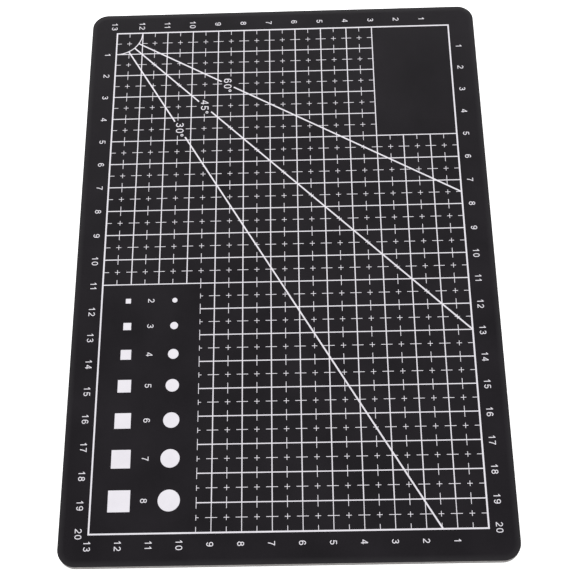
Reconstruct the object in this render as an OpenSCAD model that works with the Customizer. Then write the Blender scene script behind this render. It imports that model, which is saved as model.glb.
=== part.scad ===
// Self-healing cutting mat, A5 class, in its own frame: +Z up, origin at the centre of the underside.
// Three plies of flexible PVC are laminated into one sheet, and the upper face carries one screen print.
// The long side lies along Y. The print is read from the +X side, so it is drawn in a frame of its own:
// its origin is the lower left corner of the grid, its x runs towards -Y and its y runs towards +X.

/* [Mat] */
// Width of the trimmed mat, along X
mat_w = 149.9; // [149:0.1:153]
// Length of the trimmed mat, along Y
mat_l = 219.6; // [219:0.1:224]
// Radius of the four die-cut corners
corner_r = 6; // [2:0.5:9]
// Thickness of each black self-healing skin
skin_t = 0.4; // [0.2:0.05:0.8]
// Thickness of the light grey core between the skins
core_t = 2.2; // [1:0.1:3]

/* [Print] */
// Thickness of the ink film
ink_t = 0.05; // [0.02:0.01:0.1]
// How far the print sits from the middle of the mat, along Y
print_shift = 0.75; // [-1:0.05:1]
// Width of the frame around the grid
frame_line = 0.54; // [0.4:0.02:0.8]
// Width of a full centimetre line
grid_line = 0.36; // [0.2:0.02:0.5]
// Width of the lines along the long side in their last centimetre, from 19 to 20
last_line = 0.25; // [0.2:0.01:0.36]
// Width of a half-centimetre dash and of a cross
dash_line = 0.2; // [0.12:0.02:0.3]
// Length of a dash, across the line that it sits on
dash_len = 3.9; // [3:0.1:5]
// Length of each stroke of a cross
cross_len = 1.85; // [1.5:0.05:2.5]
// Width of the 30, 45 and 60 degree guide lines
guide_line = 0.54; // [0.4:0.02:0.7]
// Width of the quarter circle that the guide lines start from
arc_line = 0.36; // [0.3:0.02:0.5]

/* [Numerals] */
// Height of the numerals on the scales and in the size chart
numeral_h = 2.25; // [2:0.05:2.7]
// Height of the 30, 45 and 60 labels
label_h = 2.9; // [2.5:0.05:3.2]

/* [Size chart] */
// Drawn size of each square and disc, as a share of the millimetres beside it
chart_scale = 0.92; // [0.88:0.01:1]
// Clear space between one square or disc and the next
chart_gap = 7.5; // [6.5:0.05:7.6]

/* [Hidden] */
$fn = 96;

black = [0.16, 0.155, 0.165];
grey = [0.62, 0.60, 0.59];
white = [0.93, 0.92, 0.94];

mat_t = 2 * skin_t + core_t;

// The grid: centimetres along the print's x and y
cm = 10;
half = cm / 2;
columns = 20;
rows = 13;
grid_x = columns * cm;
grid_y = rows * cm;
grid_middle = [grid_x / 2, grid_y / 2];
// Lower left corner of the clear space inside the frame, and the size of that space
inner_corner = [frame_line / 2, frame_line / 2];
inner_size = [grid_x - frame_line, grid_y - frame_line];
// Longer than any line in the print
beyond = grid_x + grid_y;

// Blank box in the upper left corner, up to the middle of its border lines
blank_x = 5 * cm;
blank_y = 10 * cm;
// Size chart in the lower right corner, from the middle of its border lines
chart_x = 11 * cm;
chart_y = 3.5 * cm;

// Quarter circle around the lower left corner, which the guide lines start from
arc_r = 1 * cm;
// The first line above the lower edge is printed this much too high
row_1_nudge = 0.14;
// The 30 degree line is printed this far to the right of its true place, seen from the corner
shift_30 = 0.17;
// Each guide line's gap for its label, by distance from the corner
gap_30 = [48, 56.1];
gap_45 = [46.5, 53.2];
gap_60 = [47.8, 53.3];
// A dash whose middle is this near the quarter circle would touch it, so it is left out
arc_clear = 1;
// Middle of the two digits of each label
label_30 = [44.5, 25.8];
label_45 = [34.5, 35.1];
label_60 = [24.9, 43.8];
// Box around each label that dashes and crosses stay out of, as two opposite corners
clear_30 = [[41.2, 23], [48, 28]];
clear_45 = [[31.6, 32.5], [38.5, 37.6]];
clear_60 = [[21.6, 41.6], [29.7, 46.3]];

// Middle of each scale's numerals, by distance outside the frame
top_gap = 3.45;
bottom_gap = 3.35;
left_gap = 3.5;
right_gap = 3.8;
// Numerals on the short sides sit this far below their line, and the left 13 is lower to clear the frame
numeral_drop = 0.3;
corner_drop = 0.9;
// Pairs from 10 to 19 stand this far right of their line, and 20 this far left
pair_nudge = 0.2;

// Size chart: the first figure, the last figure, and the middle of each row
chart_first = 2;
chart_last = 8;
chart_start = chart_x + 6.45;
square_row = 9.45;
numeral_row = 17.6;
disc_row = 25.95;

// Proportions of a digit, by its height
digit_w = 0.64;
lower_bowl = 0.58;
digit_line = 0.12;
digit_pitch = 0.9;
// Two ones stand closer together
ones_kern = 0.15;
// Ring of the degree sign: its diameter, and its middle from that of the two digits
degree_d = 0.38;
degree_line = 0.1;
degree_place = [1.14, 0.31];

// ---- Plies ----

module rounded_outline(w, l, r) {
    square([w - 2 * r, l], center = true);
    square([w, l - 2 * r], center = true);
    for (x = [-1, 1], y = [-1, 1])
        translate([x * (w / 2 - r), y * (l / 2 - r)])
            circle(r);
}

module ply(bottom, thickness) {
    translate([0, 0, bottom])
        linear_extrude(thickness)
            rounded_outline(mat_w, mat_l, corner_r);
}

module bottom_skin() {
    color(black)
        ply(0, skin_t);
}

module core_sheet() {
    color(grey)
        ply(skin_t, core_t);
}

module top_skin() {
    color(black)
        ply(skin_t + core_t, skin_t);
}

// ---- Print ----

// Turns an outline in the print's own frame into ink on the upper face
module printed() {
    color(white)
        translate([0, print_shift, mat_t])
            rotate(-90)
                translate(-grid_middle)
                    linear_extrude(ink_t)
                        children();
}

module box(corners) {
    translate(corners[0])
        square(corners[1] - corners[0]);
}

// Clear space inside the frame
module inner_area() {
    translate(inner_corner)
        square(inner_size);
}

// What the blank box and the size chart keep clear, up to the border line of width line
module blank_area(line) {
    box([[0, blank_y + line / 2], [blank_x - line / 2, grid_y]]);
}

module chart_area(line) {
    box([[chart_x + line / 2, 0], [grid_x, chart_y - dash_line / 2]]);
}

function row_y(j) = j * cm + (j == 1 ? row_1_nudge : 0);

function in_blank(p) = p.x < blank_x && p.y > blank_y;
function in_chart(p) = p.x > chart_x && p.y < chart_y;
function on_arc(p) = abs(norm(p) - arc_r) < arc_clear;

module guide_band(angle) {
    shift = angle == 30 ? shift_30 : 0;
    rotate(angle)
        translate([0, -shift - guide_line / 2])
            square([beyond, guide_line]);
}

// The guide lines start at the quarter circle
module guide_bands() {
    difference() {
        union() {
            for (angle = [30, 45, 60])
                guide_band(angle);
        }
        circle(arc_r);
    }
}

module arc_ring() {
    difference() {
        circle(arc_r + arc_line / 2);
        circle(arc_r - arc_line / 2);
    }
}

// What lies under the guide lines and the quarter circle, where the finer lines stop
module under_guides() {
    guide_bands();
    arc_ring();
}

module label_clearances() {
    box(clear_30);
    box(clear_45);
    box(clear_60);
}

module frame_border() {
    printed()
        difference() {
            translate(-inner_corner)
                square([grid_x + frame_line, grid_y + frame_line]);
            inner_area();
        }
}

module centimetre_grid() {
    printed()
        difference() {
            intersection() {
                union() {
                    for (i = [1 : columns - 1])
                        translate([i * cm - grid_line / 2, 0])
                            square([grid_line, grid_y]);
                    for (j = [1 : rows - 1])
                        translate([0, row_y(j)]) {
                            translate([0, -grid_line / 2])
                                square([grid_x - cm, grid_line]);
                            translate([0, -last_line / 2])
                                square([grid_x, last_line]);
                        }
                }
                inner_area();
            }
            blank_area(grid_line);
            chart_area(grid_line);
            under_guides();
        }
}

// One arm of a dash: it runs from the side of a line, at p, in the direction dir
module dash_arm(p, dir, line) {
    start = line / 2;
    arm = dash_len / 2 - start;
    middle = p + dir * (start + arm / 2);
    size = [abs(dir.x) * arm + abs(dir.y) * dash_line, abs(dir.y) * arm + abs(dir.x) * dash_line];
    inside = middle.x > 0 && middle.x < grid_x && middle.y > 0 && middle.y < grid_y;
    if (inside && !in_blank(middle) && !in_chart(middle) && !on_arc(middle))
        translate(middle)
            square(size, center = true);
}

// Width of the line across at i centimetres, and of the line along at j in the square that starts at i
function across_line(i) = i == 0 || i == columns ? frame_line : grid_line;
function along_line(i, j) = j == 0 || j == rows ? frame_line : i == columns - 1 ? last_line : grid_line;

module half_centimetre_dashes() {
    printed()
        difference() {
            union() {
                for (i = [0 : columns], j = [0 : rows - 1], side = [-1, 1])
                    dash_arm([i * cm, j * cm + half], [side, 0], across_line(i));
                for (i = [0 : columns - 1], j = [0 : rows], side = [-1, 1])
                    dash_arm([i * cm + half, row_y(j)], [0, side], along_line(i, j));
            }
            label_clearances();
            guide_bands();
        }
}

module cross() {
    square([cross_len, dash_line], center = true);
    square([dash_line, cross_len], center = true);
}

module half_centimetre_crosses() {
    printed()
        difference() {
            union() {
                for (i = [0 : columns - 1], j = [0 : rows - 1]) {
                    p = [i * cm + half, j * cm + half];
                    if (!in_blank(p) && !in_chart(p))
                        translate(p)
                            cross();
                }
            }
            chart_area(grid_line);
            label_clearances();
            guide_bands();
        }
}

module corner_arc() {
    printed()
        intersection() {
            arc_ring();
            inner_area();
        }
}

module guide(angle, gap) {
    printed()
        difference() {
            intersection() {
                guide_band(angle);
                inner_area();
            }
            circle(arc_r + arc_line / 2);
            rotate(angle)
                translate([gap[0], -guide_line])
                    square([gap[1] - gap[0], 2 * guide_line]);
        }
}

module guide_line_30() {
    guide(30, gap_30);
}

module guide_line_45() {
    guide(45, gap_45);
}

module guide_line_60() {
    guide(60, gap_60);
}

// ---- Digits: plain strokes around the middle of each digit, w wide and h high ----

module stadium(w, h) {
    r = min(w, h) / 2;
    square([w - (w < h ? 0 : 2 * r), h - (w < h ? 2 * r : 0)], center = true);
    for (side = [-1, 1])
        translate(side * [w / 2 - r, h / 2 - r])
            circle(r);
}

module ring(w, h, s) {
    difference() {
        stadium(w, h);
        stadium(w - 2 * s, h - 2 * s);
    }
}

module degree_sign(d, s) {
    difference() {
        circle(d / 2);
        circle(d / 2 - s);
    }
}

// Band of width s inside radius r, from one angle round to the other
module arc_band(r, from, to, s) {
    steps = ceil((to - from) / 45);
    turn = (to - from) / steps;
    difference() {
        intersection() {
            circle(r);
            polygon([[0, 0], for (k = [0 : steps]) 2 * r * [cos(from + k * turn), sin(from + k * turn)]]);
        }
        circle(r - s);
    }
}

// Bar of width s from point p to point q
module stroke(p, q, s) {
    d = q - p;
    translate(p)
        rotate(atan2(d.y, d.x))
            translate([0, -s / 2])
                square([norm(d), s]);
}

module digit_0(w, h, s) {
    ring(w, h, s);
}

module digit_1(w, h, s) {
    left = 0.03 * w;
    polygon([[left, -h / 2], [left + s, -h / 2], [left + s, h / 2], [left + 0.3 * s, h / 2],
        [-0.27 * w, 0.25 * h], [-0.27 * w, 0.14 * h], [left, 0.29 * h]]);
}

module digit_2(w, h, s) {
    r = w / 2;
    bowl = [0, h / 2 - r];
    foot = -h / 2 + s / 2;
    bend = bowl + (r - s / 2) * [cos(-42), sin(-42)];
    translate(bowl)
        arc_band(r, -45, 165, s);
    stroke(bend, [-0.3 * w, foot], s);
    stroke([-w / 2, foot], [w / 2, foot], s);
}

module digit_8(w, h, s) {
    lower = lower_bowl * h;
    upper = h - lower + s;
    translate([0, -h / 2 + lower / 2])
        ring(w, lower, s);
    translate([0, h / 2 - upper / 2])
        ring(0.9 * w, upper, s);
}

module digit_3(w, h, s) {
    difference() {
        digit_8(w, h, s);
        box([[-w, -0.25 * h], [-0.15 * w, 0.3 * h]]);
    }
}

module digit_4(w, h, s) {
    left = 0.13 * w;
    right = left + s;
    bar = -0.27 * h;
    difference() {
        polygon([[right, h / 2], [right, bar + s], [w / 2, bar + s], [w / 2, bar], [right, bar],
            [right, -h / 2], [left, -h / 2], [left, bar], [-w / 2, bar], [-w / 2, bar + s],
            [left + 0.1 * s, h / 2]]);
        polygon([[left, bar + s], [-w / 2 + 1.2 * s, bar + s], [left, h / 2 - 1.7 * s]]);
    }
}

module digit_5(w, h, s) {
    r = w / 2;
    bowl = [0, -h / 2 + r];
    shoulder = bowl + (r - s / 2) * [cos(135), sin(135)];
    translate(bowl)
        arc_band(r, -155, 135, s);
    stroke(shoulder - [0.1 * s, 0.1 * s], [-0.33 * w, h / 2 - s / 2], s);
    box([[-0.33 * w - s / 2, h / 2 - s], [0.42 * w, h / 2]]);
}

module digit_6(w, h, s) {
    r = w / 2;
    lower = lower_bowl * h;
    translate([0, -h / 2 + lower / 2])
        ring(w, lower, s);
    box([[-r, -h / 2 + r], [-r + s, h / 2 - r]]);
    translate([0, h / 2 - r])
        arc_band(r, 28, 180, s);
}

module digit_7(w, h, s) {
    bar = h / 2 - s;
    foot = 0.02 * w;
    polygon([[-w / 2, h / 2], [w / 2, h / 2], [w / 2, bar + 0.1 * s], [foot, -h / 2],
        [foot - 1.1 * s, -h / 2], [w / 2 - 1.2 * s, bar], [-w / 2, bar]]);
}

module digit(n, w, h, s) {
    if (n == 0) digit_0(w, h, s);
    if (n == 1) digit_1(w, h, s);
    if (n == 2) digit_2(w, h, s);
    if (n == 3) digit_3(w, h, s);
    if (n == 4) digit_4(w, h, s);
    if (n == 5) digit_5(w, h, s);
    if (n == 6) digit_6(w, h, s);
    if (n == 7) digit_7(w, h, s);
    if (n == 8) digit_8(w, h, s);
    if (n == 9) rotate(180) digit_6(w, h, s);
}

// A number of one or two digits, h high, around its own middle
module number(n, h) {
    pitch = h * (n == 11 ? digit_pitch - ones_kern : digit_pitch);
    pair = n > 9;
    if (pair)
        translate([-pitch / 2, 0])
            digit(floor(n / 10), digit_w * h, h, digit_line * h);
    translate([pair ? pitch / 2 : 0, 0])
        digit(n % 10, digit_w * h, h, digit_line * h);
}

// ---- Labels, scales and size chart ----

module angle_label(angle, middle) {
    printed()
        translate(middle) {
            number(angle, label_h);
            translate(label_h * degree_place)
                degree_sign(degree_d * label_h, degree_line * label_h);
        }
}

module label_30_degrees() {
    angle_label(30, label_30);
}

module label_45_degrees() {
    angle_label(45, label_45);
}

module label_60_degrees() {
    angle_label(60, label_60);
}

function pair_shift(n) = n < 10 ? 0 : n < columns ? pair_nudge : -pair_nudge;

module long_scale(y) {
    for (i = [1 : columns])
        translate([i * cm + pair_shift(i), y])
            number(i, numeral_h);
}

// Numbers on a short side count down from the top line
module short_scale(x, last_drop) {
    for (i = [1 : rows])
        translate([x, (rows - i) * cm - numeral_drop - (i == rows ? last_drop : 0)])
            number(i, numeral_h);
}

module numerals_top() {
    printed()
        long_scale(grid_y + top_gap);
}

module numerals_bottom() {
    printed()
        long_scale(-bottom_gap);
}

module numerals_left() {
    printed()
        short_scale(-left_gap, corner_drop);
}

module numerals_right() {
    printed()
        short_scale(grid_x + right_gap, 0);
}

// Middle of a square or disc: each gap between neighbours is the same clear space
function chart_place(n) = chart_start + chart_gap * (n - chart_first)
    + chart_scale * (n * n - chart_first * chart_first) / 2;

module size_squares() {
    printed()
        for (n = [chart_first : chart_last])
            translate([chart_place(n), square_row])
                square(chart_scale * n, center = true);
}

module size_discs() {
    printed()
        for (n = [chart_first : chart_last])
            translate([chart_place(n), disc_row])
                circle(d = chart_scale * n);
}

module size_numerals() {
    printed()
        for (n = [chart_first : chart_last])
            translate([chart_place(n), numeral_row])
                number(n, numeral_h);
}

top_skin();
core_sheet();
bottom_skin();
frame_border();
centimetre_grid();
half_centimetre_dashes();
half_centimetre_crosses();
corner_arc();
guide_line_30();
guide_line_45();
guide_line_60();
label_30_degrees();
label_45_degrees();
label_60_degrees();
numerals_top();
numerals_bottom();
numerals_left();
numerals_right();
size_squares();
size_discs();
size_numerals();
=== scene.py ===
"""Looks of a self-healing cutting mat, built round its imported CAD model.

Metres, +Z up. The mat lies on z = 0 with its long side along Y.
"""

import math

import bpy
from mathutils import Matrix, Vector
from mathutils.geometry import delaunay_2d_cdt


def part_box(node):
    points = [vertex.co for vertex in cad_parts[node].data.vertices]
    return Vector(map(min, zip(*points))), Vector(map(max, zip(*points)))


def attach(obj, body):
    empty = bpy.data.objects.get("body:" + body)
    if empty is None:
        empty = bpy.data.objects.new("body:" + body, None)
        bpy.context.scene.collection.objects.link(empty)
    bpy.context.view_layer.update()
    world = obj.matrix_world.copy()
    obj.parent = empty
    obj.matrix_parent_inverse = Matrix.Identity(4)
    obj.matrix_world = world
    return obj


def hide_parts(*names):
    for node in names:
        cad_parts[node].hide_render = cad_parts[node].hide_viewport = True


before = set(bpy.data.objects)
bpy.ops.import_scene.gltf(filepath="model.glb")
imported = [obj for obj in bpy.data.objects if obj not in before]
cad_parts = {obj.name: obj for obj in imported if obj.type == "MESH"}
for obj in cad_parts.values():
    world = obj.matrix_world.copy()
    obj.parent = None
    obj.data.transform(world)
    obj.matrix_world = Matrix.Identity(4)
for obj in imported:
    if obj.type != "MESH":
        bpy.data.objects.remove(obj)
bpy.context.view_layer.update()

MM = 0.001

# ---- Sizes that the CAD model gives ----

TOP_LOW, TOP_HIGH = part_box("top_skin")
CORE_LOW, CORE_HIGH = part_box("core_sheet")
UNDER_LOW, UNDER_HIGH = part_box("bottom_skin")
FRAME_LOW, FRAME_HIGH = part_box("frame_border")
INK_LOW, INK_HIGH = FRAME_LOW[2], FRAME_HIGH[2]
HALF_W = TOP_HIGH[0]
HALF_L = TOP_HIGH[1]
MAT_T = TOP_HIGH[2]

# ---- Sizes of the mat's edge ----

# Radius of the corners, the number of steps round each, and the length of a step along a side
CORNER_R = 6 * MM
CORNER_STEPS = 20
SIDE_STEP = 1.5 * MM
# Upper skin's rim: where the face starts to fall, over what length it reaches its slope, and that slope
ROLL_INSET = 2.6 * MM
ROLL_LENGTH = 1.4 * MM
ROLL_SLOPE = 0.084
ROLL_STEPS = 5
# The round nose that the slope ends in: its width, how far down it ends, and its handles by its width
NOSE_W = 0.22 * MM
NOSE_DROP = 0.285 * MM
NOSE_FULLNESS = 0.52
NOSE_STEPS = 6
# Where two plies meet, the cut side is this far inside the outline
JOINT_INSET = 0.015 * MM
# How uneven the cutting die leaves the skins and the core, and how far in from the outline that reaches
SKIN_CHATTER = 0.012 * MM
CORE_CHATTER = 0.02 * MM
CHATTER_REACH = 0.3 * MM

# ---- Sizes of the print, as in the CAD model ----

# Line of the frame, and the grid's squares
FRAME_LINE = 0.54 * MM
CM = 10 * MM
COLUMNS = 20
ROWS = 13
# Quarter circle round the grid's lower left corner: its radius and its line
ARC_R = 10 * MM
ARC_LINE = 0.36 * MM
ARC_STEPS = 48
# Height of the numerals and of the angle labels
NUMERAL_H = 2.25 * MM
LABEL_H = 2.9 * MM
# How far outside the frame the middle of each scale's numerals is
TOP_GAP = 3.45 * MM
BOTTOM_GAP = 3.35 * MM
LEFT_GAP = 3.5 * MM
RIGHT_GAP = 3.8 * MM
# On the short sides the numerals sit this far below their line, and the left 13 this much lower still
NUMERAL_DROP = 0.3 * MM
CORNER_DROP = 0.9 * MM
# On the long sides 10 to 19 stand this far right of their line, and 20 this far left
PAIR_SHIFT = 0.2 * MM
# Middle of the two digits of each angle label
LABEL_PLACES = {30: (44.5 * MM, 25.8 * MM), 45: (34.5 * MM, 35.1 * MM), 60: (24.9 * MM, 43.8 * MM)}
# Size chart: its figures, its first place, the gaps, its scale, and the middles of its rows
CHART_FIRST = 2
CHART_LAST = 8
CHART_START = 116.45 * MM
CHART_GAP = 7.5 * MM
CHART_SCALE = 0.92
NUMERAL_ROW = 17.6 * MM
DISC_ROW = 25.95 * MM
DISC_STEPS = 96


# ---- Helpers ----


def new_object(name, verts, faces, material, smooth=None):
    """A mesh object that rides on the mat. smooth says for each face whether it is shaded smooth."""
    mesh = bpy.data.meshes.new(name)
    mesh.from_pydata(verts, [], faces)
    if smooth:
        mesh.polygons.foreach_set("use_smooth", smooth)
    mesh.materials.append(material)
    mesh.validate()
    mesh.update()
    obj = bpy.data.objects.new(name, mesh)
    bpy.context.scene.collection.objects.link(obj)
    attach(obj, "root")
    return obj


# Colour sockets of a Mix node, by number, because its number, vector and colour sockets share their names
COLOUR_A = 6
COLOUR_B = 7
MIXED_COLOUR = 2


class Nodes:
    """Short calls for building one node material."""

    def __init__(self, name):
        self.material = bpy.data.materials.new(name)
        self.material.use_nodes = True
        self.tree = self.material.node_tree
        self.shader = self.tree.nodes["Principled BSDF"]

    def add(self, kind, inputs=None, **settings):
        """A new node, with its inputs by socket name and its settings by attribute name."""
        node = self.tree.nodes.new(kind)
        for key, value in settings.items():
            setattr(node, key, value)
        for key, value in (inputs or {}).items():
            self.feed(node.inputs[key], value)
        return node

    def feed(self, socket, value):
        """Links another node's output to a socket, or sets the socket's own value."""
        if isinstance(value, bpy.types.NodeSocket):
            self.tree.links.new(value, socket)
        else:
            socket.default_value = value

    def place(self, scale=(1, 1, 1)):
        """Object coordinates, stretched."""
        coords = self.add("ShaderNodeTexCoord")
        mapping = self.add("ShaderNodeMapping", {"Vector": coords.outputs["Object"], "Scale": scale})
        return mapping.outputs["Vector"]

    def noise(self, vector, size, detail=2.0, roughness=0.5):
        """Noise with features about size metres across."""
        node = self.add(
            "ShaderNodeTexNoise",
            {"Vector": vector, "Scale": 1 / size, "Detail": detail, "Roughness": roughness},
        )
        return node.outputs["Fac"]

    def span(self, value, low, high, to_low=0.0, to_high=1.0):
        """Maps low..high to to_low..to_high, clamped."""
        node = self.add(
            "ShaderNodeMapRange",
            {"Value": value, "From Min": low, "From Max": high, "To Min": to_low, "To Max": to_high},
        )
        return node.outputs["Result"]

    def math(self, operation, a, b=0.0):
        """One step of arithmetic."""
        node = self.add("ShaderNodeMath", operation=operation)
        self.feed(node.inputs[0], a)
        self.feed(node.inputs[1], b)
        return node.outputs[0]

    def mix(self, factor, a, b):
        """Colour a where factor is 0, b where it is 1."""
        node = self.add("ShaderNodeMix", data_type="RGBA")
        self.feed(node.inputs["Factor"], factor)
        self.feed(node.inputs[COLOUR_A], a)
        self.feed(node.inputs[COLOUR_B], b)
        return node.outputs[MIXED_COLOUR]

    def bump(self, height, distance, strength=1.0, normal=None):
        """Relief distance metres deep, on top of the relief in normal."""
        node = self.add(
            "ShaderNodeBump", {"Height": height, "Distance": distance, "Strength": strength}
        )
        if normal:
            self.feed(node.inputs["Normal"], normal)
        return node.outputs["Normal"]


# ---- Materials ----

# Black PVC: its darker and lighter blotches, a highlight painted along its rims, dust, and its finish
BLACK_DARK = (0.0068, 0.0055, 0.0075, 1)
BLACK_LIGHT = (0.0125, 0.0105, 0.0135, 1)
# Colour of the highlight painted along the rims
BLACK_PAINTED_HIGHLIGHT = (0.0225, 0.021, 0.0235, 1)
DUST_GREY = (0.16, 0.155, 0.15, 1)
BLACK_ROUGHNESS = (0.42, 0.56)
BLACK_SPECULAR = 0.1
BLOTCH_SIZE = 22 * MM
RIPPLE_SIZE = 2.6 * MM
RIPPLE_DEPTH = 0.012 * MM
# The painted rim highlight is full up to the first depth inside the outline, and gone past the second
HIGHLIGHT_FULL = 0.4 * MM
HIGHLIGHT_END = 2.2 * MM
# Dust: the cells that may hold a speck, a speck's core and fringe by the cell's size, and its strength
DUST_CELL = 9 * MM
DUST_CORE = 0.012
DUST_FRINGE = 0.03
DUST_STRENGTH = 0.5
# A cell holds a speck where its random value is over this
DUST_CHOICE = 0.93
# Grain of the two faces: its size and depth
UPPER_GRAIN = (0.28 * MM, 0.02 * MM)
UNDER_GRAIN = (0.5 * MM, 0.05 * MM)

# Grey PVC of the core: its tones, the knife's streaks, and the black dragged over its upper and lower parts
GREY_DARK = (0.175, 0.163, 0.158, 1)
GREY_LIGHT = (0.24, 0.226, 0.219, 1)
STREAK_GREY = (0.13, 0.12, 0.117, 1)
DRAG_UPPER = (0.085, 0.075, 0.072, 1)
DRAG_LOWER = (0.085, 0.078, 0.075, 1)
PATCH_SIZE = 5 * MM
STREAK_SIZE = 0.22 * MM
STREAK_DEPTH = 0.03 * MM
# Streaks stand upright: their noise is stretched this much along Z
STREAK_STRETCH = (1, 1, 0.06)
DRAG_UPPER_H = 0.45 * MM
DRAG_LOWER_H = 0.2 * MM
DRAG_RAGGED = 0.12 * MM
GREY_ROUGHNESS = (0.5, 0.7)
GREY_SPECULAR = 0.35

# Ink: its tones, its cloudiness, its grain and the screen's mesh
INK_DARK = (0.73, 0.705, 0.755, 1)
INK_LIGHT = (0.79, 0.765, 0.815, 1)
CLOUD_SIZE = 7 * MM
INK_GRAIN_SIZE = 0.2 * MM
INK_GRAIN_DEPTH = 0.008 * MM
MESH_CELL = 0.12 * MM
MESH_DEPTH = 0.003 * MM
INK_ROUGHNESS = (0.42, 0.58)
INK_SPECULAR = 0.4
# A wave texture at scale 1 repeats about 3.2 times in a unit
WAVES_PER_UNIT = 3.2

FLOOR_DARK = (0.93, 0.93, 0.93, 1)
FLOOR_LIGHT = (0.95, 0.95, 0.95, 1)
FLOOR_CLOUD = 0.12
FLOOR_ROUGHNESS = 0.9
FLOOR_SPECULAR = 0.1
# The floor glows a little, so it comes out white
FLOOR_GLOW = 0.65


def edge_depth(n, where):
    """How far a point of the mat is inside its outline."""
    place = n.add("ShaderNodeSeparateXYZ", {"Vector": where})
    across = n.math("SUBTRACT", n.math("ABSOLUTE", place.outputs["X"]), HALF_W - CORNER_R)
    along = n.math("SUBTRACT", n.math("ABSOLUTE", place.outputs["Y"]), HALF_L - CORNER_R)
    beyond_x = n.math("MAXIMUM", across, 0.0)
    beyond_y = n.math("MAXIMUM", along, 0.0)
    square_x = n.math("MULTIPLY", beyond_x, beyond_x)
    square_y = n.math("MULTIPLY", beyond_y, beyond_y)
    beyond = n.math("SQRT", n.math("ADD", square_x, square_y))
    within = n.math("MINIMUM", n.math("MAXIMUM", across, along), 0.0)
    return n.math("SUBTRACT", n.math("SUBTRACT", CORNER_R, beyond), within)


def blend_tone(n, coarse, fine):
    """A tone of 60% coarse and 40% fine noise."""
    return n.math("ADD", n.math("MULTIPLY", coarse, 0.6), n.math("MULTIPLY", fine, 0.4))


def dust_specks(n, where):
    """1 on a few specks and 0 elsewhere. Each chosen cell has one speck, at the cell's own point."""
    cells = n.add("ShaderNodeTexVoronoi", {"Vector": where, "Scale": 1 / DUST_CELL, "Randomness": 1.0})
    chosen = n.add("ShaderNodeSeparateColor", {"Color": cells.outputs["Color"]})
    near = n.span(cells.outputs["Distance"], DUST_CORE, DUST_FRINGE, 1.0, 0.0)
    return n.math("MULTIPLY", near, n.math("GREATER_THAN", chosen.outputs["Red"], DUST_CHOICE))


def skin_material(name, grain_size, grain_depth):
    """Black flexible PVC: fine matte grain, faint blotches, a painted highlight that lightens the rims and
    a few specks of dust.
    """
    n = Nodes(name)
    where = n.place()
    grain = n.noise(where, grain_size, 3.0, 0.6)
    ripple = n.noise(where, RIPPLE_SIZE, 2.0)
    blotch = n.noise(where, BLOTCH_SIZE, 3.0)
    tone = blend_tone(n, blotch, grain)
    colour = n.mix(n.span(tone, 0.38, 0.62), BLACK_DARK, BLACK_LIGHT)
    # Painted highlight: the rims are lightened in the colour, fading inward from the outline
    rim = n.span(edge_depth(n, where), HIGHLIGHT_FULL, HIGHLIGHT_END, 1.0, 0.0)
    painted_highlight = n.math("MULTIPLY", rim, n.span(ripple, 0.2, 0.8, 0.7, 1.0))
    colour = n.mix(painted_highlight, colour, BLACK_PAINTED_HIGHLIGHT)
    dust = n.math("MULTIPLY", dust_specks(n, where), DUST_STRENGTH)
    colour = n.mix(dust, colour, DUST_GREY)
    n.feed(n.shader.inputs["Base Color"], colour)
    n.feed(n.shader.inputs["Roughness"], n.span(tone, 0.3, 0.7, *BLACK_ROUGHNESS))
    n.shader.inputs["Specular IOR Level"].default_value = BLACK_SPECULAR
    fine = n.bump(grain, grain_depth)
    n.feed(n.shader.inputs["Normal"], n.bump(ripple, RIPPLE_DEPTH, 1.0, fine))
    return n.material


def core_material():
    """The cut side of the grey core: knife streaks, and a little of each black skin dragged over it."""
    n = Nodes("core_pvc")
    where = n.place()
    streak = n.noise(n.place(STREAK_STRETCH), STREAK_SIZE, 3.0, 0.65)
    patch = n.noise(where, PATCH_SIZE, 2.0)
    colour = n.mix(n.span(patch, 0.3, 0.7), GREY_DARK, GREY_LIGHT)
    colour = n.mix(n.span(streak, 0.35, 0.7, 0.0, 0.25), colour, STREAK_GREY)
    height = n.add("ShaderNodeSeparateXYZ", {"Vector": where}).outputs["Z"]
    ragged = n.math("ADD", height, n.span(streak, 0.2, 0.8, -DRAG_RAGGED, DRAG_RAGGED))
    drag_upper = n.span(ragged, CORE_HIGH[2] - DRAG_UPPER_H, CORE_HIGH[2], 0.0, 0.85)
    drag_lower = n.span(ragged, CORE_LOW[2], CORE_LOW[2] + DRAG_LOWER_H, 0.5, 0.0)
    colour = n.mix(drag_upper, colour, DRAG_UPPER)
    colour = n.mix(drag_lower, colour, DRAG_LOWER)
    n.feed(n.shader.inputs["Base Color"], colour)
    n.feed(n.shader.inputs["Roughness"], n.span(streak, 0.3, 0.7, *GREY_ROUGHNESS))
    n.shader.inputs["Specular IOR Level"].default_value = GREY_SPECULAR
    n.feed(n.shader.inputs["Normal"], n.bump(streak, STREAK_DEPTH))
    return n.material


def ink_material():
    """White screen-print ink: a matte film with a trace of the screen's mesh and of the grain below."""
    n = Nodes("screen_print_ink")
    where = n.place()
    grain = n.noise(where, INK_GRAIN_SIZE, 2.0)
    cloud = n.noise(where, CLOUD_SIZE, 3.0)
    tone = blend_tone(n, cloud, grain)
    colour = n.mix(n.span(tone, 0.35, 0.65), INK_DARK, INK_LIGHT)
    n.feed(n.shader.inputs["Base Color"], colour)
    n.feed(n.shader.inputs["Roughness"], n.span(grain, 0.3, 0.7, *INK_ROUGHNESS))
    n.shader.inputs["Specular IOR Level"].default_value = INK_SPECULAR
    scale = 1 / (WAVES_PER_UNIT * MESH_CELL)
    waves = []
    for direction in ("X", "Y"):
        inputs = {"Vector": where, "Scale": scale, "Distortion": 0.4}
        wave = n.add("ShaderNodeTexWave", inputs, bands_direction=direction)
        waves.append(wave.outputs["Fac"])
    weave = n.math("MULTIPLY", waves[0], waves[1])
    fine = n.bump(grain, INK_GRAIN_DEPTH)
    n.feed(n.shader.inputs["Normal"], n.bump(weave, MESH_DEPTH, 0.6, fine))
    return n.material


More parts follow.
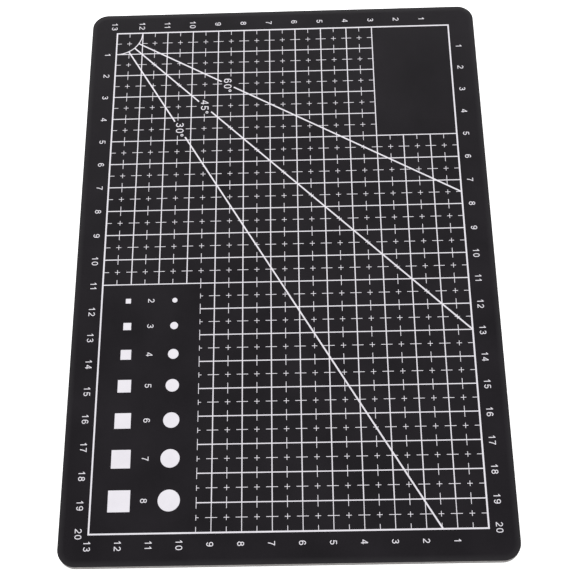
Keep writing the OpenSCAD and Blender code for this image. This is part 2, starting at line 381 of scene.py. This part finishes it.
def floor_material():
    """Plain pale floor."""
    n = Nodes("pale_floor")
    where = n.place()
    soft = n.noise(where, FLOOR_CLOUD, 2.0)
    n.feed(n.shader.inputs["Base Color"], n.mix(soft, FLOOR_DARK, FLOOR_LIGHT))
    n.shader.inputs["Roughness"].default_value = FLOOR_ROUGHNESS
    n.shader.inputs["Specular IOR Level"].default_value = FLOOR_SPECULAR
    n.shader.inputs["Emission Color"].default_value = (1, 1, 1, 1)
    n.shader.inputs["Emission Strength"].default_value = FLOOR_GLOW
    return n.material


# ---- Strokes: outlines in the plane, as lists of Vectors ----


def arc(centre, a, b, start, end, steps, power=2.0):
    """Points of an ellipse, or with a higher power of a fuller oval, from start to end degrees."""
    points = []
    for k in range(steps + 1):
        t = math.radians(start + (end - start) * k / steps)
        c, s = math.cos(t), math.sin(t)
        x = math.copysign(abs(c) ** (2 / power), c)
        y = math.copysign(abs(s) ** (2 / power), s)
        points.append(Vector((centre[0] + a * x, centre[1] + b * y)))
    return points


def bezier(p0, p1, p2, p3, steps):
    """Points of a cubic curve from p0 to p3, with the handles p1 and p2."""
    points = []
    for k in range(steps + 1):
        t = k / steps
        u = 1 - t
        points.append(u**3 * p0 + 3 * u * u * t * p1 + 3 * u * t * t * p2 + t**3 * p3)
    return points


def ribbon(points, width):
    """The outline of a stroke along points, cut square at both ends."""
    left, right = [], []
    for k, point in enumerate(points):
        before = points[max(k - 1, 0)]
        after = points[min(k + 1, len(points) - 1)]
        d = (after - before).normalized()
        side = Vector((-d.y, d.x)) * (width / 2)
        left.append(point + side)
        right.append(point - side)
    return right + left[::-1]


def loop(centre, a, b, width, power=2.0, steps=40):
    """A closed oval stroke, as two halves."""
    half = steps // 2
    return [
        ribbon(arc(centre, a, b, -1, 181, half, power), width),
        ribbon(arc(centre, a, b, 179, 361, half, power), width),
    ]


def bar(x0, y0, x1, y1):
    """A rectangle between two opposite corners."""
    return [Vector((x0, y0)), Vector((x1, y0)), Vector((x1, y1)), Vector((x0, y1))]


# ---- Mat ----


def mat_outline():
    """Points round the mat's edge, anticlockwise, with their outward directions and ways along it."""
    points = []
    corner_x = HALF_W - CORNER_R
    corner_y = HALF_L - CORNER_R
    sides = [
        (Vector((corner_x, corner_y)), 0),
        (Vector((-corner_x, corner_y)), 90),
        (Vector((-corner_x, -corner_y)), 180),
        (Vector((corner_x, -corner_y)), 270),
    ]
    for index, (centre, start) in enumerate(sides):
        for step in range(CORNER_STEPS + 1):
            angle = math.radians(start + 90 * step / CORNER_STEPS)
            out = Vector((math.cos(angle), math.sin(angle)))
            points.append((centre + CORNER_R * out, out))
        last, out = points[-1]
        following = sides[(index + 1) % 4][0] + CORNER_R * out
        count = max(2, round((following - last).length / SIDE_STEP))
        for step in range(1, count):
            points.append((last.lerp(following, step / count), out))
    along = 0.0
    result = []
    for index, (point, out) in enumerate(points):
        if index:
            along += (point - points[index - 1][0]).length
        result.append((point, out, along))
    return result


def chatter(along, z, amount):
    """The cutting die's slight unevenness along the edge, in waves of about 7.6, 2.9 and 1.3 mm."""
    mm = along / MM
    return amount * (
        0.5 * math.sin(0.83 * mm) + 0.3 * math.sin(2.17 * mm + 1.3) + 0.2 * math.sin(4.9 * mm + z / MM)
    )


def sheet(name, profile, material, ripple):
    """A closed sheet. profile is its section, as (inset, z) from the upper flat face to the lower one."""
    edge = mat_outline()
    count = len(edge)
    verts = []
    for inset, z in profile:
        for point, out, along in edge:
            wobble = chatter(along, z, ripple) if inset < CHATTER_REACH else 0.0
            spot = point + out * (wobble - inset)
            verts.append((spot.x, spot.y, z))
    faces = [tuple(range(count))]
    for ring in range(len(profile) - 1):
        for k in range(count):
            a = ring * count + k
            b = ring * count + (k + 1) % count
            faces.append((a, a + count, b + count, b))
    base = (len(profile) - 1) * count
    faces.append(tuple(base + k for k in reversed(range(count))))
    smooth = [False] + [True] * (len(faces) - 2) + [False]
    return new_object(name, verts, faces, material, smooth)


def rolled_rim():
    """Section of the upper skin's rim, as insets and drops: a roll, a straight slope and a round nose."""
    points = []
    for k in range(ROLL_STEPS + 1):
        run = ROLL_LENGTH * k / ROLL_STEPS
        points.append(Vector((ROLL_INSET - run, ROLL_SLOPE * run * run / (2 * ROLL_LENGTH))))
    downhill = Vector((-1, ROLL_SLOPE))
    nose_top = points[-1] + (points[-1].x - NOSE_W) * downhill
    nose_end = Vector((0, NOSE_DROP))
    handle = NOSE_W * NOSE_FULLNESS
    top_handle = nose_top + handle * downhill
    end_handle = nose_end - Vector((0, handle))
    return points + bezier(nose_top, top_handle, end_handle, nose_end, NOSE_STEPS)


def top_skin(material):
    """The upper skin, whose rim is rolled down by the cutting die."""
    profile = [(point.x, TOP_HIGH[2] - point.y) for point in rolled_rim()]
    profile.append((JOINT_INSET, TOP_LOW[2]))
    return sheet("upper_skin", profile, material, SKIN_CHATTER)


def core(material):
    """The core sheet, whose cut side is slightly hollow."""
    high = CORE_HIGH[2]
    low = CORE_LOW[2]
    profile = [
        (0.02 * MM, high),
        (0.04 * MM, high - 0.3 * MM),
        (0.055 * MM, (high + low) / 2),
        (0.03 * MM, low + 0.4 * MM),
        (JOINT_INSET, low),
    ]
    return sheet("core", profile, material, CORE_CHATTER)


def bottom_skin(material):
    """The lower skin, with a small round along its lower rim."""
    high = UNDER_HIGH[2]
    low = UNDER_LOW[2]
    profile = [
        (JOINT_INSET, high),
        (0.0, high - 0.04 * MM),
        (0.0, low + 0.14 * MM),
        (0.03 * MM, low + 0.07 * MM),
        (0.09 * MM, low + 0.02 * MM),
        (0.2 * MM, low),
    ]
    return sheet("lower_skin", profile, material, SKIN_CHATTER)


# ---- Numerals, one unit high round their middle ----

DIGIT_W = 0.64
STROKE = 0.12
# The level strokes are a little thinner
FLAT_STROKE = STROKE * 0.95
HALF = 0.5
# Middle line of the outermost strokes
SIDE = (DIGIT_W - STROKE) / 2
TIP = HALF - STROKE / 2
# Middle line of the waist of a 3 or an 8
WAIST = 0.045

# Each glyph is a list of outlines that overlap


def glyph_0():
    return loop((0, 0), SIDE, TIP, STROKE, 2.35, 48)


def glyph_1():
    left = 0.02
    flag = [
        Vector((left + STROKE, HALF)),
        Vector((left + 0.3 * STROKE, HALF)),
        Vector((-0.18, 0.25)),
        Vector((-0.18, 0.14)),
        Vector((left + STROKE, 0.35)),
    ]
    return [bar(left, -HALF, left + STROKE, HALF), flag]


def glyph_2():
    b = 0.25
    hook = arc((0, TIP - b), SIDE - 0.01, b, 168, -28, 22)
    slope = (hook[-1] - hook[-2]).normalized()
    foot = Vector((-SIDE + 0.01, -TIP))
    curve = bezier(hook[-1], hook[-1] + 0.16 * slope, foot + Vector((0.1, 0.2)), foot, 12)
    base = bar(-DIGIT_W / 2, -HALF, DIGIT_W / 2, -HALF + FLAT_STROKE)
    return [ribbon(hook + curve[1:], STROKE), base]


def glyph_3():
    upper_b = (TIP - WAIST) / 2
    lower_b = (TIP + WAIST) / 2
    upper = arc((0, TIP - upper_b), SIDE - 0.025, upper_b, 165, -90, 26)
    lower = arc((0, -TIP + lower_b), SIDE, lower_b, 90, -165, 28)
    waist = bar(-0.085, WAIST - STROKE / 2, 0.01, WAIST + STROKE / 2)
    return [ribbon(upper, STROKE), ribbon(lower, STROKE), waist]


def glyph_4():
    left = 0.09
    base = -0.27
    stem = bar(left, -HALF, left + STROKE, HALF)
    cross = bar(-DIGIT_W / 2, base, DIGIT_W / 2 + 0.01, base + FLAT_STROKE)
    slant = [
        Vector((left + STROKE, HALF)),
        Vector((left + 0.05 * STROKE, HALF)),
        Vector((-DIGIT_W / 2, base + STROKE * 0.9)),
        Vector((-DIGIT_W / 2 + 1.2 * STROKE, base + STROKE * 0.9)),
        Vector((left + 0.05 * STROKE, 0.34)),
        Vector((left + STROKE, 0.36)),
    ]
    return [stem, cross, slant]


def glyph_5():
    bowl_b = 0.255
    bowl = arc((-0.005, -TIP + bowl_b), SIDE, bowl_b, 142, -165, 30)
    top = bar(-0.215, HALF - FLAT_STROKE, 0.27, HALF)
    stem = [
        Vector((-0.22, HALF)),
        Vector((-0.285, -0.035)),
        Vector((-0.19, -0.025)),
        Vector((-0.115, HALF)),
    ]
    return [ribbon(bowl, STROKE), top, stem]


def glyph_6():
    bowl_b = 0.25
    tail = arc((0, 0), SIDE, TIP, 33, 195, 26, 2.3)
    return loop((0.0, -TIP + bowl_b), SIDE, bowl_b, STROKE, 2.1, 36) + [ribbon(tail, STROKE)]


def glyph_7():
    leg = bezier(
        Vector((SIDE - 0.01, HALF - STROKE / 2)),
        Vector((0.12, 0.2)),
        Vector((-0.03, -0.1)),
        Vector((-0.065, -HALF)),
        12,
    )
    slant = 1.06 * STROKE / 2
    side = Vector((slant, 0))
    outline = [p + side for p in leg] + [p - side for p in reversed(leg)]
    return [bar(-DIGIT_W / 2, HALF - FLAT_STROKE, DIGIT_W / 2, HALF), outline]


def glyph_8():
    upper_b = (TIP - WAIST) / 2
    lower_b = (TIP + WAIST) / 2
    upper = loop((0, TIP - upper_b), SIDE - 0.03, upper_b, STROKE, 2.05, 32)
    lower = loop((0, -TIP + lower_b), SIDE, lower_b, STROKE, 2.05, 36)
    return upper + lower


def glyph_9():
    return [[-p for p in outline] for outline in glyph_6()]


# Ring of the degree sign: its diameter, its line, and its middle from that of the two digits
DEGREE_D = 0.38
DEGREE_LINE = 0.1
DEGREE_PLACE = (1.14, 0.31)

GLYPHS = [glyph_0, glyph_1, glyph_2, glyph_3, glyph_4, glyph_5, glyph_6, glyph_7, glyph_8, glyph_9]
# From one digit's middle to the next, and how much closer two ones stand
PITCH = 0.9
ONES_KERN = 0.15


def moved(outlines, scale, x, y):
    """Outlines scaled and then moved by (x, y)."""
    shift = Vector((x, y))
    return [[p * scale + shift for p in outline] for outline in outlines]


def number(n, height, x, y):
    """A number of one or two digits round (x, y), as one list of outlines for each digit."""
    pitch = height * (PITCH - ONES_KERN if n == 11 else PITCH)
    if n < 10:
        return [moved(GLYPHS[n](), height, x, y)]
    return [
        moved(GLYPHS[n // 10](), height, x - pitch / 2, y),
        moved(GLYPHS[n % 10](), height, x + pitch / 2, y),
    ]


# ---- Print ----

# Lower left corner of the grid, on the middle of the frame's lines.
# The print's x runs along -Y, and its y along +X.
GRID_X0 = FRAME_LOW[0] + FRAME_LINE / 2
GRID_Y0 = FRAME_HIGH[1] - FRAME_LINE / 2


def on_mat(p, z):
    """A point of the print's frame in the mat's frame, at height z."""
    return (GRID_X0 + p.y, GRID_Y0 - p.x, z)


# Kind of triangulation that drops what is outside the outlines, and how near two points merge, in mm
INSIDE_ONLY = 1
MERGE_DISTANCE = 1e-5


def triangulate(outlines):
    """The points and triangles that cover a list of outlines, which may overlap. In mm."""
    points, polygons = [], []
    for outline in outlines:
        area = sum(a.cross(b) for a, b in zip(outline, outline[1:] + outline[:1]))
        ordered = outline if area > 0 else outline[::-1]
        polygons.append(list(range(len(points), len(points) + len(ordered))))
        points.extend(ordered)
    scaled = [p / MM for p in points]
    flat, _, found, _, _, inside = delaunay_2d_cdt(scaled, [], polygons, INSIDE_ONLY, MERGE_DISTANCE)
    return flat, [tri for tri, owners in zip(found, inside) if owners]


def film(name, shapes, material, node):
    """A thin printed film that stands for a CAD node. Each list of outlines becomes one closed solid."""
    verts, faces = [], []
    for outlines in shapes:
        flat, tris = triangulate(outlines)
        count = len(flat)
        base = len(verts)
        verts.extend(on_mat(p * MM, INK_HIGH) for p in flat)
        verts.extend(on_mat(p * MM, INK_LOW) for p in flat)
        edges = set()
        for tri in tris:
            for a, b in zip(tri, tri[1:] + tri[:1]):
                edges.add((a, b))
            faces.append([base + k for k in tri])
            faces.append([base + count + k for k in reversed(tri)])
        for a, b in sorted(edges):
            if (b, a) not in edges:
                faces.append([base + b, base + a, base + count + a, base + count + b])
    obj = new_object(name, verts, faces, material)
    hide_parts(node)


def angle_label(angle):
    """The two digits of an angle and the ring of its degree sign."""
    x, y = LABEL_PLACES[angle]
    line = DEGREE_LINE * LABEL_H
    radius = (DEGREE_D * LABEL_H - line) / 2
    middle = (x + DEGREE_PLACE[0] * LABEL_H, y + DEGREE_PLACE[1] * LABEL_H)
    return number(angle, LABEL_H, x, y) + [loop(middle, radius, radius, line, 2.0, 32)]


def long_scale(y):
    """The numerals 1 to 20 along a long side, with their middles at height y."""
    shapes = []
    for i in range(1, COLUMNS + 1):
        shift = 0 if i < 10 else PAIR_SHIFT if i < 20 else -PAIR_SHIFT
        shapes += number(i, NUMERAL_H, i * CM + shift, y)
    return shapes


def short_scale(x, last_drop):
    """The numerals 1 to 13 down a short side. The 13 sits last_drop lower than its place."""
    shapes = []
    for i in range(1, ROWS + 1):
        drop = NUMERAL_DROP + (last_drop if i == ROWS else 0)
        shapes += number(i, NUMERAL_H, x, (ROWS - i) * CM - drop)
    return shapes


def chart_place(n):
    """The middle of the size chart's column n: its squares grow, and the gaps between them don't."""
    return CHART_START + CHART_GAP * (n - CHART_FIRST) + CHART_SCALE * MM * (n * n - CHART_FIRST**2) / 2


def disc(x, y, radius):
    """A full disc, whose outline stops one step before it closes."""
    steps = DISC_STEPS - 1
    return [arc((x, y), radius, radius, 0, 360 * steps / DISC_STEPS, steps)]


def corner_arc():
    """The quarter circle, cut off along the frame's inner edges."""
    outer = ARC_R + ARC_LINE / 2
    inner = ARC_R - ARC_LINE / 2
    cut = FRAME_LINE / 2
    outline = []
    for radius, forward in ((outer, True), (inner, False)):
        start = math.degrees(math.asin(cut / radius))
        side = arc((0, 0), radius, radius, start, 90 - start, ARC_STEPS)
        outline += side if forward else side[::-1]
    return [outline]


def build_print(ink):
    """The printed films that replace CAD nodes, and the ink on the CAD nodes that stay."""
    grid_x = COLUMNS * CM
    grid_y = ROWS * CM
    chart = range(CHART_FIRST, CHART_LAST + 1)
    film("corner_arc_film", [corner_arc()], ink, "corner_arc")
    for angle in LABEL_PLACES:
        film(f"label_{angle}_film", angle_label(angle), ink, f"label_{angle}_degrees")
    film("numerals_top_film", long_scale(grid_y + TOP_GAP), ink, "numerals_top")
    film("numerals_bottom_film", long_scale(-BOTTOM_GAP), ink, "numerals_bottom")
    film("numerals_left_film", short_scale(-LEFT_GAP, CORNER_DROP), ink, "numerals_left")
    film("numerals_right_film", short_scale(grid_x + RIGHT_GAP, 0), ink, "numerals_right")
    discs = [disc(chart_place(n), DISC_ROW, CHART_SCALE * n * MM / 2) for n in chart]
    film("size_discs_film", discs, ink, "size_discs")
    figures = [shape for n in chart for shape in number(n, NUMERAL_H, chart_place(n), NUMERAL_ROW)]
    film("size_numerals_film", figures, ink, "size_numerals")
    kept = [
        "frame_border",
        "centimetre_grid",
        "half_centimetre_dashes",
        "half_centimetre_crosses",
        "guide_line_30",
        "guide_line_45",
        "guide_line_60",
        "size_squares",
    ]
    for name in kept:
        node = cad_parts[name]
        node.data.materials.clear()
        node.data.materials.append(ink)


# ---- Studio ----

# Softboxes: name, place, width and height, power. Each one faces the mat's middle.
SOFTBOXES = [
    ("softbox_far", (-0.3, 1.7, 0.8), (2.6, 1.2), 28.4),
    ("softbox_over", (0.2, -0.4, 1.5), (1.6, 1.6), 4.4),
]
WORLD_STRENGTH = 0.75
FLOOR_HALF = 12.0
# The floor lies a hair below the mat, so that their faces don't coincide
FLOOR_Z = -0.02 * MM


def softbox(name, place, size, power):
    """A rectangular light that faces the mat's middle."""
    data = bpy.data.lights.new(name, "AREA")
    data.shape = "RECTANGLE"
    data.size, data.size_y = size
    data.energy = power
    obj = bpy.data.objects.new(name, data)
    obj.location = place
    obj.rotation_euler = (-Vector(place)).to_track_quat("-Z", "Y").to_euler()
    bpy.context.scene.collection.objects.link(obj)


def floor():
    """A square of plain floor."""
    corners = [(-1, -1), (1, -1), (1, 1), (-1, 1)]
    verts = [(x * FLOOR_HALF, y * FLOOR_HALF, FLOOR_Z) for x, y in corners]
    mesh = bpy.data.meshes.new("floor")
    mesh.from_pydata(verts, [], [(0, 1, 2, 3)])
    mesh.materials.append(floor_material())
    obj = bpy.data.objects.new("floor", mesh)
    bpy.context.scene.collection.objects.link(obj)


def studio():
    """White surroundings, two softboxes and the floor."""
    scene = bpy.context.scene
    scene.view_settings.view_transform = "Standard"
    world = bpy.data.worlds.new("studio")
    world.use_nodes = True
    background = world.node_tree.nodes["Background"]
    background.inputs["Color"].default_value = (1, 1, 1, 1)
    background.inputs["Strength"].default_value = WORLD_STRENGTH
    scene.world = world
    for values in SOFTBOXES:
        softbox(*values)
    floor()


# Camera: where it looks, from how far, and how it is turned. It follows the print's place along Y.
FRAME_MIDDLE_Y = (FRAME_LOW[1] + FRAME_HIGH[1]) / 2
CAMERA_TARGET = Vector((-2.01 * MM, FRAME_MIDDLE_Y - 12.74 * MM, MAT_T))
CAMERA_DISTANCE = 441.2 * MM
CAMERA_ELEVATION = math.radians(64.53)
CAMERA_AZIMUTH = math.radians(-3.49)
CAMERA_ROLL = math.radians(-4.38)
CAMERA_LENS = 77.8
CAMERA_SENSOR = 36.0
CAMERA_SHIFT = (0.0149, 0.0009)
CAMERA_CLIP = 0.01


def camera():
    """The camera, turned by its azimuth, elevation and roll, at its distance from its target."""
    e, a, r = CAMERA_ELEVATION, CAMERA_AZIMUTH, CAMERA_ROLL
    forward = Vector((math.sin(a) * math.cos(e), math.cos(a) * math.cos(e), -math.sin(e)))
    level = Vector((math.cos(a), -math.sin(a), 0))
    upright = level.cross(forward)
    right = math.cos(r) * level + math.sin(r) * upright
    up = math.cos(r) * upright - math.sin(r) * level
    data = bpy.data.cameras.new("camera")
    data.sensor_width = CAMERA_SENSOR
    data.lens = CAMERA_LENS
    data.shift_x, data.shift_y = CAMERA_SHIFT
    data.clip_start = CAMERA_CLIP
    obj = bpy.data.objects.new("camera", data)
    turn = Matrix((right, up, -forward)).transposed().to_4x4()
    obj.matrix_world = Matrix.Translation(CAMERA_TARGET - forward * CAMERA_DISTANCE) @ turn
    bpy.context.scene.collection.objects.link(obj)
    bpy.context.scene.camera = obj


def ply(sheet_piece, node):
    """Hides the CAD node that a sheet stands for."""
    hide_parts(node)


def build():
    """The mat, its print, the camera and the studio."""
    black = skin_material("black_pvc", *UPPER_GRAIN)
    under = skin_material("black_pvc_under", *UNDER_GRAIN)
    ply(top_skin(black), "top_skin")
    ply(core(core_material()), "core_sheet")
    ply(bottom_skin(under), "bottom_skin")
    build_print(ink_material())
    camera()
    studio()


build()
